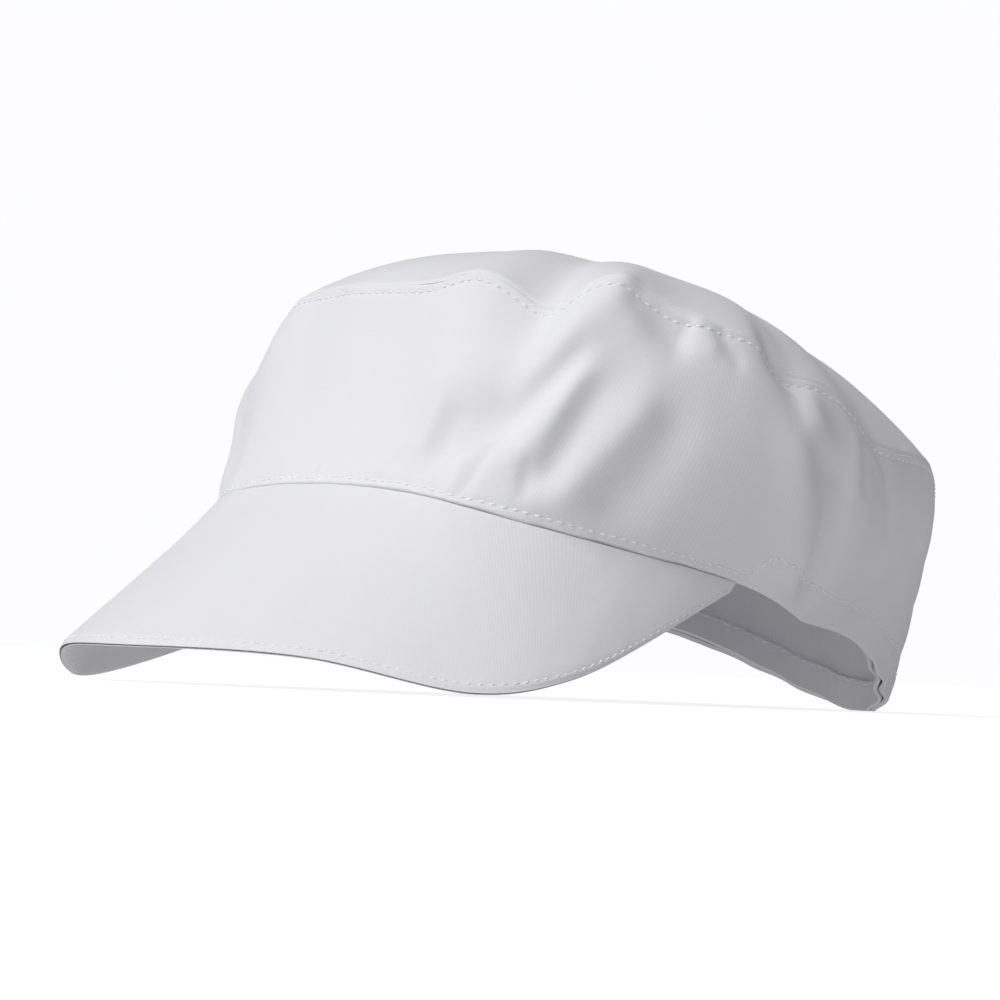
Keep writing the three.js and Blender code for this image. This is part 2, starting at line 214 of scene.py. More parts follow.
def top_point(station, inward):
    angle = np.radians(angle_at(station))
    cosine, sine = np.cos(angle), np.sin(angle)
    front = cosine > 0
    middle = TOP_SETBACK + TOP_LENGTH * DOME_MIDDLE
    reach = TOP_LENGTH * np.where(front, TOP_WIDEST, 1 - TOP_WIDEST)
    squareness = np.where(front, FRONT_SQUARENESS, BACK_SQUARENESS)
    across = np.sign(sine) * np.abs(sine) ** squareness * TOP_WIDTH / 2
    along = TOP_SETBACK + TOP_LENGTH * TOP_WIDEST - reach * cosine
    level = np.abs(cosine)
    tilt = cosine * (level + (1 - level) * 2 * reach / TOP_LENGTH)
    seam_height = (TOP_FRONT + TOP_BACK + (TOP_FRONT - TOP_BACK) * tilt) / 2 + TOP_SIDE_RISE * sine**2
    wave = seam_wave(np.degrees(angle)) * inward**WAVE_FADE
    lean = WAVE_LEAN * wave
    place = middle + (along - middle) * inward
    edge_share = inward**DOME_FADE
    high = top_plane(place) + (seam_height - top_plane(along)) * edge_share
    high = high + DOME_RISE * (1 - edge_share) + wave
    return np.stack([across * inward + lean * sine, place - lean * cosine, high], -1)


def ridges(table, angle, height):
    depth = 0
    for at, low, to, high, wide, deep in table:
        run_x, run_y = seam_run(to, at), (high - low) * PANEL_HEIGHT
        x, y = seam_run(angle, at), (height - low) * PANEL_HEIGHT
        share = np.clip((x * run_x + y * run_y) / (run_x**2 + run_y**2), 0, 1)
        away2 = ((x - share * run_x) ** 2 + (y - share * run_y) ** 2) / (wide * FOLD_WIDTH) ** 2
        depth = depth + deep * FOLD_DEPTH * np.exp(-away2)
    return depth


def crown_point(station, height):
    station, height = np.broadcast_arrays(np.asarray(station, float), np.asarray(height, float))
    place = station % STATIONS
    angle = angle_at(place)
    away = np.stack([np.sin(np.radians(angle)), -np.cos(np.radians(angle)), 0 * angle], -1)
    hem, rim = hem_point(place), top_point(place, np.ones_like(place))
    cosine2 = np.cos(np.radians(angle)) ** 2
    end = np.where(np.abs(angle) < 90, FRONT_FULLNESS, BACK_FULLNESS)
    fullness = SIDE_FULLNESS * (1 - cosine2) + end * cosine2
    low = hem + (rim - hem) * height[..., None] + away * (4 * height * (1 - height) * fullness)[..., None]
    top = top_point(place, np.clip(2 - height, 0, 1))
    point = np.where((height > 1)[..., None], top, low)
    lean = smoothstep(FOLD_TURN_START, FOLD_TURN_STOP, height) * np.pi / 2
    depth = ridges(FOLDS, angle, height) * smoothstep(0, FOLD_FULL, height)
    depth = depth * (1 - smoothstep(1, FOLD_END, height))
    run = np.sign(place - NAPE) * np.linalg.norm(hem - hem_point(np.full_like(place, NAPE)), axis=-1)
    gather = np.exp(-((run / GATHER_REACH) ** 4)) * (1 - smoothstep(0, GATHER_TOP, height))
    gather = gather * GATHER_DEPTH * np.cos(2 * np.pi * run / GATHER_PITCH)
    point = point + away * (depth * np.cos(lean) + gather)[..., None]
    point[..., 2] += depth * np.sin(lean)
    return point


print("top of the dome, mm:", crown_point(0, 2.0).round(1).tolist())

# %% [markdown]
# ## The visor's surface
# The visor hangs from the front half of the crown's lower edge. Its front edge is one smooth curve from corner
# to corner, and straight lines run from the seam to that edge, as a stiffened visor bends one way only.

# %% The visor's edge and surface
MIRROR = np.array([-1, 1, 1])
NORMAL_STEP, SHORTEST = 0.02, 1e-9
INNER_SHARE = 0.03


def edge_curve(points):
    """A centripetal spline through points, from 0 at the first to 1 at the last."""

    def spacing(a, b):
        return np.sum((a - b) ** 2, -1)[..., None] ** 0.25

    def point(t):
        t = np.asarray(t, float) * (len(points) - 1)
        index = np.clip(np.floor(t).astype(int), 0, len(points) - 2)
        weight = (t - index)[..., None]
        padded = np.vstack([2 * points[0] - points[1], points, 2 * points[-1] - points[-2]])
        a, b, c, d = (padded[index + k] for k in range(4))
        ab, bc, cd = spacing(a, b), spacing(b, c), spacing(c, d)
        start = ((b - a) / ab - (c - a) / (ab + bc) + (c - b) / bc) * bc
        stop = ((c - b) / bc - (d - b) / (bc + cd) + (d - c) / cd) * bc
        return (
            b
            + start * weight
            + (3 * (c - b) - 2 * start - stop) * weight**2
            + (2 * (b - c) + start + stop) * weight**3
        )

    return point


half_edge = [
    np.array([across * VISOR_WIDTH / 2, -ahead * VISOR_REACH, high * VISOR_ARCH + VISOR_STAND - PRESS])
    for across, ahead, high in VISOR_EDGE
]
visor_edge = edge_curve(
    np.array(
        [hem_point(np.array(-CORNER))]
        + [p * MIRROR for p in half_edge[:0:-1]]
        + half_edge
        + [hem_point(np.array(CORNER))]
    )
)


def normals(surface, u, v):
    """Unit normals of a surface, from points a small step apart."""
    along_u = surface(u + NORMAL_STEP, v) - surface(u - NORMAL_STEP, v)
    along_v = surface(u, v + NORMAL_STEP) - surface(u, v - NORMAL_STEP)
    normal = np.cross(along_u, along_v)
    length = np.linalg.norm(normal, axis=-1, keepdims=True)
    return np.where(length > SHORTEST, normal / np.maximum(length, SHORTEST), [0, 0, 1])


def visor_point(across, ahead):
    across, ahead = np.broadcast_arrays(np.asarray(across, float), np.asarray(ahead, float))
    station = across * CORNER
    root = crown_point(station, 0.0) + CLEARANCE * normals(crown_point, station, np.zeros_like(station))
    point = root + (visor_edge((across + 1) / 2) - root) * ahead[..., None]
    point[..., 2] += 4 * ahead * (1 - ahead) * VISOR_CROWN * (1 - across**2)
    return point


def visor_down(across, ahead):
    """Normals of the visor's underside. They are taken a little inside its edges, where it is smooth."""
    return normals(visor_point, across, np.clip(ahead, INNER_SHARE, 1 - INNER_SHARE))


def visor_reach(across):
    return np.linalg.norm(visor_point(across, 1.0) - visor_point(across, 0.0), axis=-1)


visor_low, visor_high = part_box("visor_upper")
SHIFT = np.array([(visor_low.x + visor_high.x) / 2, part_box("crown_side")[0].y, 0])
print("the cap's own origin lies at", SHIFT.round(4).tolist(), "m")

# %% [markdown]
# ## Sheets of cloth
# Each panel starts as a flat grid. Its vertices are moved onto the curved surface row by row, its ends are
# merged where the real panel is sewn into a ring, and Solidify gives it the thickness of the cloth. The grid
# keeps a map of the flat cloth in metres, which the weave follows later. Cloth that would sink into the floor
# lies flat on it. The cut rims stay sharp, and the rest is shaded smooth.

# %% Sheet helper
MERGE_DISTANCE = 0.000001
RIM_ANGLE = np.radians(65)


def deselect():
    bpy.ops.object.select_all(action="DESELECT")


def select_only(piece):
    deselect()
    piece.select_set(True)
    bpy.context.view_layer.objects.active = piece


def spots_of(mesh):
    spots = np.empty(len(mesh.vertices) * 3)
    mesh.vertices.foreach_get("co", spots)
    return spots.reshape(-1, 3)


def cloth(name, points, flat, thick, offset=-1):
    """A sheet whose vertices are points[row, column], in millimetres, with its flat map, and its wall."""
    rows, cols = points.shape[:2]
    deselect()
    bpy.ops.mesh.primitive_grid_add(
        x_subdivisions=cols - 1, y_subdivisions=rows - 1, size=2, calc_uvs=False
    )
    piece = bpy.context.object
    piece.name = piece.data.name = name
    mesh = piece.data
    spots = spots_of(mesh)
    col = np.rint((spots[:, 0] + 1) / 2 * (cols - 1)).astype(int)
    row = np.rint((spots[:, 1] + 1) / 2 * (rows - 1)).astype(int)
    mesh.vertices.foreach_set("co", (points[row, col] * MM + SHIFT).ravel())
    corner = np.empty(len(mesh.loops), int)
    mesh.loops.foreach_get("vertex_index", corner)
    mesh.uv_layers.new(name="flat").data.foreach_set("uv", flat[row[corner], col[corner]].ravel())
    bpy.ops.object.mode_set(mode="EDIT")
    bpy.ops.mesh.select_all(action="SELECT")
    bpy.ops.mesh.remove_doubles(threshold=MERGE_DISTANCE)
    bpy.ops.object.mode_set(mode="OBJECT")
    wall = piece.modifiers.new("Solidify", "SOLIDIFY")
    wall.thickness, wall.offset = thick * MM, offset
    wall.use_quality_normals = True
    bpy.ops.object.modifier_apply(modifier=wall.name)
    spots = spots_of(mesh)
    spots[:, 2] = np.maximum(spots[:, 2], 0)
    mesh.vertices.foreach_set("co", spots.ravel())
    select_only(piece)
    bpy.ops.object.shade_smooth_by_angle(angle=RIM_ANGLE)
    mesh.update()
    print(name, len(mesh.vertices), "vertices,", len(mesh.polygons), "faces")
    return piece


# %% [markdown]
# ## Puckers and wrinkles
# Where a straight thread holds soft cloth, the cloth between two stitches puckers. Small waves that are strongest
# at a seam and die out away from it show that. Their places vary along the seam, so they come from smooth noise
# with fixed seeds, which is the same each time the script runs.

# %% Smooth noise along a seam and over a panel
LINE_CELLS, SHEET_CELLS = 512, 128
RING = np.linspace(0, STATIONS, 561)


def noise_line(run, size, seed):
    table = np.random.default_rng(seed).uniform(-1, 1, LINE_CELLS)
    at = np.asarray(run) / size
    index = np.floor(at).astype(int)
    part = soft(at - index)
    return table[index % LINE_CELLS] * (1 - part) + table[(index + 1) % LINE_CELLS] * part


def noise_sheet(x, y, size, seed):
    table = np.random.default_rng(seed).uniform(-1, 1, (SHEET_CELLS, SHEET_CELLS))
    ax, ay = np.asarray(x) / size, np.asarray(y) / size
    ix, iy = np.floor(ax).astype(int), np.floor(ay).astype(int)
    px, py = soft(ax - ix), soft(ay - iy)
    ix, iy, next_x, next_y = (i % SHEET_CELLS for i in (ix, iy, ix + 1, iy + 1))
    low = table[ix, iy] * (1 - px) + table[next_x, iy] * px
    high = table[ix, next_y] * (1 - px) + table[next_x, next_y] * px
    return low * (1 - py) + high * py


def run_along(points):
    """Length walked along a row of points, closed rows included."""
    steps = np.linalg.norm(np.diff(points, axis=0), axis=1)
    return np.concatenate([[0], np.cumsum(steps)])


SEAM_RUN, HEM_RUN = run_along(crown_point(RING, 1.0)), run_along(crown_point(RING, 0.0))
print("top seam", round(SEAM_RUN[-1]), "mm, lower edge", round(HEM_RUN[-1]), "mm")

# %% [markdown]
# ## Sewn edges
# Beside a seam the cloth is doubled by the folded allowance, so it stands a little higher there. It sinks at the
# line of stitches and at the seam itself. The thread draws both of its panels together, so the side panel and
# the top panel share their puckers.

# %% The relief of a sewn edge
TOP_ROW, SEAM_ROW, HEM_ROW, VISOR_ROW, BAND_ROW = 2.1, 2.2, 8, 2.2, 7.8
# rise, full up to, gone at, stitches at, wide, deep, edge wide, edge deep
TOP_ALLOWANCE = (0.16, 1.8, 2.6, TOP_ROW, 0.55, 0.26, 0.4, 0.5)
SEAM_ALLOWANCE = (0.18, 2, 2.8, SEAM_ROW, 0.55, 0.3, 0.4, 0.7)
HEM_ALLOWANCE = (0.2, 7.8, 8.8, HEM_ROW, 0.6, 0.3, 0.35, 0.35)
PUCKER_RISE, PUCKER_PITCH, PUCKER_EVEN, PUCKER_SWING, SWING_PITCH = 0.28, 4.5, 0.6, 0.5, 30
EASE_RISE, EASE_PITCH = 0.35, 9


def groove(distance, at, wide, deep):
    return -deep * np.exp(-(((distance - at) / wide) ** 2))


def sewn_edge(distance, rise, full, gone, row, wide, deep, edge_wide, edge_deep):
    doubled = rise * (1 - smoothstep(full, gone, distance))
    return doubled + groove(distance, row, wide, deep) + groove(distance, 0, edge_wide, edge_deep)


def top_pucker(run, distance, fade):
    swing = PUCKER_EVEN + PUCKER_SWING * noise_line(run, SWING_PITCH, 2)
    return PUCKER_RISE * noise_line(run, PUCKER_PITCH, 1) * np.exp(-distance / fade) * swing


def top_ease(run, distance, fade):
    return EASE_RISE * noise_line(run, EASE_PITCH, 3) * np.exp(-distance / fade)


print("stitches lie", TOP_ROW, SEAM_ROW, HEM_ROW, "mm from the top seam, the visor's seam and the hem")

# %% [markdown]
# ## The side panel
# The tall strip all round the head. Its rows lie closer together at both edges, where the seams, the stitched
# lines and the puckers are. Between them the cloth hangs a little slack, and small creases run between the folds.

# %% Side panel
# angle, height, to angle, to height, wide, deep, as shares like those of the folds
CREASES = [
    (29, 0.37, 28, 0.21, 0.45, -0.2),
    (25, 0.42, 24, 0.22, 0.3, 0.12),
    (20, 0.22, 16, 0.1, 0.3, 0.1),
    (34, 0.2, 34, 0.07, 0.3, 0.14),
    (38, 0.26, 37, 0.1, 0.25, -0.14),
    (47, 0.67, 40, 0.42, 0.55, -0.24),
    (48, 0.56, 47, 0.27, 0.4, 0.18),
    (52, 0.54, 50, 0.24, 0.45, -0.22),
    (46, 0.22, 47, 0.12, 0.22, -0.14),
    (66, 0.95, 69, 0.9, 0.3, 0.22),
    (71, 0.95, 74, 0.87, 0.3, -0.22),
    (91, 0.88, 91, 0.82, 0.5, 0.2),
    (97, 0.53, 94, 0.21, 0.35, 0.2),
    (99, 0.61, 103, 0.2, 0.4, -0.24),
    (102, 0.83, 102, 0.62, 0.3, 0.2),
    (105, 0.8, 105, 0.68, 0.3, -0.22),
    (108, 0.87, 112, 0.8, 0.3, 0.2),
    (113, 0.8, 117, 0.6, 0.4, -0.2),
    (-60, 0.8, -55, 0.5, 0.5, 0.2),
    (-96, 0.7, -100, 0.3, 0.5, -0.2),
]
SIDE_CLOTH, TOP_CLOTH, VISOR_CLOTH, BAND_CLOTH = 1.2, 1.2, 0.22, 0.9
EDGE_ZONE, MIDDLE_ROWS, CORNER_BLEND = 9, 36, 0.1
SIDE_PUCKER_FADE, SIDE_EASE_FADE, EASE_DRIFT, EASE_DRIFT_PITCH = 5, 12, 3, 9
LOW_PUCKER_RISE, LOW_PUCKER_PITCH, LOW_PUCKER_FADE = 0.25, 5, 7
SLACK_RISE, SLACK_SIZE, SLACK_STRETCH = 0.35, 16, 0.45
RUMPLE_RISE, RUMPLE_SIZE, RUMPLE_STRETCH = 0.14, 6, 0.5
edge_rows = np.array([0, 0.25, 0.6, 1, 1.4, 1.8, 2.1, 2.4, 2.8, 3.4, 4.2, 5, 6, 7, 7.6, 8, 8.4, EDGE_ZONE])
middle_rows = np.linspace(EDGE_ZONE, PANEL_HEIGHT - EDGE_ZONE, MIDDLE_ROWS)
side_rows = np.unique(np.concatenate([edge_rows, middle_rows, PANEL_HEIGHT - edge_rows])) / PANEL_HEIGHT


def side_relief(station, height):
    """Height of fine relief over the side panel, in millimetres, from both of its edges."""
    place = station % STATIONS
    run, low_run = np.interp(place, RING, SEAM_RUN), np.interp(place, RING, HEM_RUN)
    below, above = (1 - height) * PANEL_HEIGHT, height * PANEL_HEIGHT
    from_front = np.abs((station + NAPE) % STATIONS - NAPE)
    visor_side = 1 - smoothstep(CORNER - CORNER_BLEND, CORNER + CORNER_BLEND, from_front)
    ease_run = run + EASE_DRIFT * noise_line(below, EASE_DRIFT_PITCH, 9)
    low_pucker = LOW_PUCKER_RISE * noise_line(low_run, LOW_PUCKER_PITCH, 4) * np.exp(-above / LOW_PUCKER_FADE)
    low_edge = sewn_edge(above, *SEAM_ALLOWANCE) * visor_side + sewn_edge(above, *HEM_ALLOWANCE) * (1 - visor_side)
    slack = SLACK_RISE * noise_sheet(run, above * SLACK_STRETCH, SLACK_SIZE, 5)
    rumple = RUMPLE_RISE * noise_sheet(run, above * RUMPLE_STRETCH, RUMPLE_SIZE, 6)
    return (
        top_pucker(run, below, SIDE_PUCKER_FADE)
        + top_ease(ease_run, below, SIDE_EASE_FADE)
        + sewn_edge(below, *TOP_ALLOWANCE)
        + low_pucker
        + low_edge
        + slack
        + rumple
        + ridges(CREASES, angle_at(place), height)
    )


def side_normals(station, height):
    return normals(crown_point, station, np.clip(height, 0.01, 0.99))


def side_point(station, height):
    """Points of the finished side panel, with its fine relief."""
    return crown_point(station, height) + side_normals(station, height) * side_relief(station, height)[..., None]


station, height = np.meshgrid(RING, side_rows)
side_points = side_point(station, height)
side_points[:, -1] = side_points[:, 0]
side_flat = np.stack([np.interp(station, RING, SEAM_RUN), height * PANEL_HEIGHT], -1) * MM
crown_side = cloth("side_panel", side_points, side_flat, SIDE_CLOTH)

# %% [markdown]
# ## The top panel
# An oval of twill, sewn to the side panel. Its grid is rolled round the middle like a paper cone and then opened
# flat, so its rows follow the seam, where the puckers are.

# %% Top panel
TOP_PUCKER_FADE, TOP_EASE_FADE = 4, 9
TOP_GROOVE = (0, 0.4, 0.5)
TOP_BEAD_RISE, TOP_BEAD_AT = 0.08, 1.2
SPREAD_RISE, SPREAD_SIZE, DIMPLE_RISE, DIMPLE_SIZE = 0.3, 26, 0.12, 9
SPREAD_FULL = 1.1
top_edge_rows = [0.001, 0.004, 0.009, 0.016, 0.025, 0.035]
top_rows = 1 + np.concatenate([top_edge_rows, np.linspace(0.047, 1, 44)])


def top_relief(station, height):
    run = np.interp(station % STATIONS, RING, SEAM_RUN)
    beyond = (height - 1) * TOP_WIDTH / 2
    bead = TOP_BEAD_RISE * np.exp(-((beyond - TOP_BEAD_AT) ** 2))
    folds = top_pucker(run, beyond, TOP_PUCKER_FADE) + top_ease(run, beyond, TOP_EASE_FADE)
    return folds + groove(beyond, *TOP_GROOVE) + bead


station, height = np.meshgrid(RING, top_rows)
top_points = crown_point(station, height)
plan = top_points[..., :2].copy()
top_normals = normals(crown_point, station, np.clip(height, 1.03, 1.97))
top_points += top_normals * top_relief(station, height)[..., None]
spread = SPREAD_RISE * noise_sheet(plan[..., 0], plan[..., 1], SPREAD_SIZE, 7)
dimples = DIMPLE_RISE * noise_sheet(plan[..., 0], plan[..., 1], DIMPLE_SIZE, 8)
top_points[..., 2] += (spread + dimples) * smoothstep(1, SPREAD_FULL, height)
top_points[-1] = top_points[-1].mean(0)
top_points[:, -1] = top_points[:, 0]
crown_top = cloth("top_panel", top_points, plan * MM, TOP_CLOTH)

# %% [markdown]
# ## The visor
# Two covers are sewn together round the edge, turned right side out and pressed, so the edge is thin and shows
# no raw cloth. A row of stitches runs 2.2 mm inside it. Each cover's last rows turn towards the other cover.

# %% Visor covers
HALF_THICK, TURN_REACH, EDGE_DEPTH = 0.8, 1.9, 0.225
VISOR_GROOVE = (VISOR_ROW, 0.5, 0.16)
VISOR_PUCKER_RISE, VISOR_PUCKER_PITCH, VISOR_PUCKER_FADE = 0.07, 4, 4
VISOR_SWELL_RISE, VISOR_SWELL_SIZE, VISOR_DENT_RISE, VISOR_DENT_SIZE = 0.16, 14, 0.05, 5
edge_steps = np.array([0, 0.06, 0.2, 0.45, 0.8, 1.2, 1.6, 2, 2.4, 2.9, 3.6])
ahead_steps = np.unique(np.concatenate([np.linspace(0, 0.94, 34), 1 - edge_steps / VISOR_REACH]))
across_steps = np.linspace(-VISOR_END, VISOR_END, 241)


def visor_cover(name, side, seed):
    """The upper cover has side -1, the under cover 1."""
    across, ahead = np.meshgrid(across_steps, ahead_steps)
    run = np.interp(across, across_steps, run_along(visor_edge((across_steps + 1) / 2)))
    inside = (1 - ahead) * visor_reach(across)
    turn = np.clip(1 - inside / TURN_REACH, 0, 1)
    pucker = VISOR_PUCKER_RISE * noise_line(run, VISOR_PUCKER_PITCH, seed) * np.exp(-inside / VISOR_PUCKER_FADE)
    swell = VISOR_SWELL_RISE * noise_sheet(run, inside, VISOR_SWELL_SIZE, seed + 1)
    dents = VISOR_DENT_RISE * noise_sheet(run, inside, VISOR_DENT_SIZE, seed + 2)
    relief = groove(inside, *VISOR_GROOVE) + pucker + swell + dents
    depth = HALF_THICK - (HALF_THICK - EDGE_DEPTH) * soft(turn) + relief * (1 - turn)
    points = visor_point(across, ahead) + visor_down(across, ahead) * (HALF_THICK + side * depth)[..., None]
    return cloth(name, points, np.stack([run, inside], -1) * MM, VISOR_CLOTH, offset=side)


visor_upper = visor_cover("visor_upper_cover", -1, 11)
visor_under = visor_cover("visor_under_cover", 1, 21)

# %% [markdown]
# ## The hem turned up inside
# Behind the visor's corners the lower edge is folded up inside the cap and stitched, 8 mm above the fold. An
# elastic in it draws the nape together.

# %% Hem band
CORNER_GAP, BAND_GAP = 0.25, 0.45
BAND_PUCKER_RISE, BAND_PUCKER_PITCH, BAND_PUCKER_AT, BAND_PUCKER_FADE = 0.3, 6, 4, 6
BAND_GROOVE = (BAND_ROW, 0.5, 0.2)
BAND_LOWEST, BAND_SHARE = -0.3, 0.4
band_heights = [0, 0.3, 0.8, 1.6, 2.6, 3.8, 5, 6.2, 7.2, BAND_ROW, 8.1, 8.5]
band_stations = np.linspace(CORNER + CORNER_GAP, STATIONS - CORNER - CORNER_GAP, 261)
station, height = np.meshgrid(band_stations, np.array(band_heights) / PANEL_HEIGHT)
band_run = np.interp(station, RING, HEM_RUN)
above = height * PANEL_HEIGHT
band_fade = np.exp(-np.abs(above - BAND_PUCKER_AT) / BAND_PUCKER_FADE)
band_relief = BAND_PUCKER_RISE * noise_line(band_run, BAND_PUCKER_PITCH, 31) * band_fade
band_relief = np.maximum(band_relief + groove(above, *BAND_GROOVE), BAND_LOWEST)
band_depth = -SIDE_CLOTH - BAND_GAP - band_relief * BAND_SHARE - BAND_CLOTH
band_normals = normals(crown_point, station, np.clip(height, 0.01, 1))
band_points = crown_point(station, height) + band_normals * band_depth[..., None]
band_flat = np.stack([band_run, above], -1) * MM
hem_band = cloth("turned_hem", band_points, band_flat, BAND_CLOTH, offset=1)

# %% [markdown]
# ## Twill
# Twill weave shows fine slanting ribs. The ribs are worked out from the flat map of each panel, so they bend
# with the cloth. Shader maths is easier to read as plain expressions, so a small class wraps a node's socket.


# %% Shader maths
class Wire:
    """A socket in a node tree. A wire without a socket only stands for its tree."""

    def __init__(self, tree, socket=None):
        self.tree, self.socket = tree, socket

    def node(self, kind, settings=(), inputs=(), output=0):
        """Any node in the tree: its settings first, then the values or wires of its sockets."""
        made = self.tree.nodes.new(kind)
        for name, value in dict(settings).items():
            setattr(made, name, value)
        for name, value in dict(inputs).items():
            if isinstance(value, Wire):
                self.tree.links.new(value.socket, made.inputs[name])
            else:
                made.inputs[name].default_value = value
        return Wire(self.tree, made.outputs[output])

    def math(self, operation, *others):
        return self.node("ShaderNodeMath", {"operation": operation}, enumerate((self, *others)))

    def __add__(self, other):
        return self.math("ADD", other)

    def __mul__(self, other):
        return self.math("MULTIPLY", other)

    def __sub__(self, other):
        return self.math("SUBTRACT", other)

    def __rsub__(self, other):
        return (self * -1) + other

    __radd__, __rmul__ = __add__, __mul__


# %% [markdown]
# Two sine waves make the ribs and the threads across them, and fine noise makes the uneven yarn. They lighten
# the colour a little, roughen it and raise it. Slower noise gives the soft cloudiness of washed cotton.

# %% Twill material
RIB_PITCH, CROSS_PITCH = 0.00075, 0.000675
RIB_DEPTH, THREAD_DEPTH, BUMP_STRENGTH = 0.00008, 0.00005, 0.28
WOBBLE_SCALE, SLUB_SCALE, CLOUD_SCALE = 160, 1400, 45
WOBBLE, RIB_SHARE, CROSS_SHARE, SLUB_SHARE = 0.5, 0.5, 0.2, 0.8
WEAVE_TONE, CLOUD_TONE, LEAST_TONE = 0.36, 0.14, 0.22
DARK, LIGHT = 0.9, 1.06
ROUGHNESS, ROUGHNESS_SWING = 0.95, 0.08
GLOSS, SHEEN, SHEEN_ROUGHNESS = 0.25, 0.12, 0.5
# The Mix node's sockets for its share and its colours
MIX_SHARE, MIX_A, MIX_B, MIX_COLOUR = 0, 6, 7, 2


def stripes(across, pitch):
    return (across * (2 * math.pi / pitch)).math("SINE") * 0.5 + 0.5


def twill(name, colour, lean, depth=RIB_DEPTH):
    material = bpy.data.materials.new(name)
    material.use_nodes = True
    tree = material.node_tree
    shader = tree.nodes["Principled BSDF"]
    wire = Wire(tree)
    flat = wire.node("ShaderNodeUVMap", {"uv_map": "flat"})
    u, v = (wire.node("ShaderNodeSeparateXYZ", (), {"Vector": flat}, axis) for axis in (0, 1))
    wobble = wire.node("ShaderNodeTexNoise", (), {"Vector": flat, "Scale": WOBBLE_SCALE, "Detail": 2})
    slub = wire.node("ShaderNodeTexNoise", (), {"Vector": flat, "Scale": SLUB_SCALE, "Detail": 3})
    cloud = wire.node("ShaderNodeTexNoise", (), {"Vector": flat, "Scale": CLOUD_SCALE, "Detail": 4})
    rib = stripes(u * math.cos(lean) + v * math.sin(lean) + wobble * (WOBBLE * RIB_PITCH), RIB_PITCH)
    cross = stripes(v * math.cos(lean) - u * math.sin(lean), CROSS_PITCH)
    weave = rib * RIB_SHARE + cross * CROSS_SHARE * rib + slub * SLUB_SHARE
    colours = {
        MIX_SHARE: weave * WEAVE_TONE + cloud * CLOUD_TONE + LEAST_TONE,
        MIX_A: (*[c * DARK for c in colour], 1),
        MIX_B: (*[min(1, c * LIGHT) for c in colour], 1),
    }
    tone = wire.node("ShaderNodeMix", {"data_type": "RGBA"}, colours, MIX_COLOUR)
    relief = {"Height": weave, "Strength": BUMP_STRENGTH, "Distance": depth}
    bump = wire.node("ShaderNodeBump", (), relief)
    tree.links.new(tone.socket, shader.inputs["Base Color"])
    tree.links.new((ROUGHNESS - weave * ROUGHNESS_SWING).socket, shader.inputs["Roughness"])
    tree.links.new(bump.socket, shader.inputs["Normal"])
    shader.inputs["Specular IOR Level"].default_value = GLOSS
    shader.inputs["Sheen Weight"].default_value = SHEEN
    shader.inputs["Sheen Roughness"].default_value = SHEEN_ROUGHNESS
    return material


WHITE, THREAD_WHITE = (0.80, 0.80, 0.835), (0.93, 0.93, 0.95)
side_twill = twill("side_twill", WHITE, math.radians(-10))
top_twill = twill("top_twill", WHITE, math.radians(8))
visor_twill = twill("visor_twill", WHITE, math.radians(4))
thread = twill("white_thread", THREAD_WHITE, 0.3, THREAD_DEPTH)
PANELS = (
    (crown_side, "crown_side", side_twill),
    (crown_top, "crown_top", top_twill),
    (visor_upper, "visor_upper", visor_twill),
    (visor_under, "visor_under", visor_twill),
    (hem_band, "hem_band", side_twill),
)
for piece, _, material in PANELS:
    piece.data.materials.clear()
    piece.data.materials.append(material)
    print(piece.name, "is made of", material.name)

# %% [markdown]
# ## Stitches
# One stitch is modelled: a short thread, thickest in the middle, whose ends dip into the cloth. It is
# copied along each seam, turned to follow it, and each row of copies is joined into one piece.

# %% One stitch
STITCH_LENGTH, THREAD_RADIUS, END_TAPER, END_DIP = 2.1, 0.3, 0.75, 0.3
deselect()
bpy.ops.mesh.primitive_cylinder_add(
    vertices=6, radius=THREAD_RADIUS * MM, depth=STITCH_LENGTH * MM, end_fill_type="TRIFAN"
)
stitch = bpy.context.object
stitch.name = stitch.data.name = "one_stitch"
bpy.ops.object.mode_set(mode="EDIT")
bpy.ops.mesh.select_all(action="SELECT")
bpy.ops.mesh.subdivide(number_cuts=1)
bpy.ops.object.mode_set(mode="OBJECT")
stitch_spots = spots_of(stitch.data) / MM
stitch_faces = [list(f.vertices) for f in stitch.data.polygons]
share = stitch_spots[:, 2] / (STITCH_LENGTH / 2)
stitch_spots[:, :2] *= np.sqrt(np.maximum(1 - END_TAPER * share**2, 0))[:, None]
stitch_spots[:, 0] -= END_DIP * share**2
bpy.data.objects.remove(stitch)
print("one stitch has", len(stitch_faces), "faces")

# %% Rows of stitches
STITCH_PITCH, CORNER_PITCH = 3.0, 2
STITCH_LIFT, STITCH_JITTER, STITCH_SLANT, HEADING_REACH = 0.16, 0.12, 0.06, 0.5


def unit(v):
    return v / np.maximum(np.linalg.norm(v, axis=-1, keepdims=True), SHORTEST)


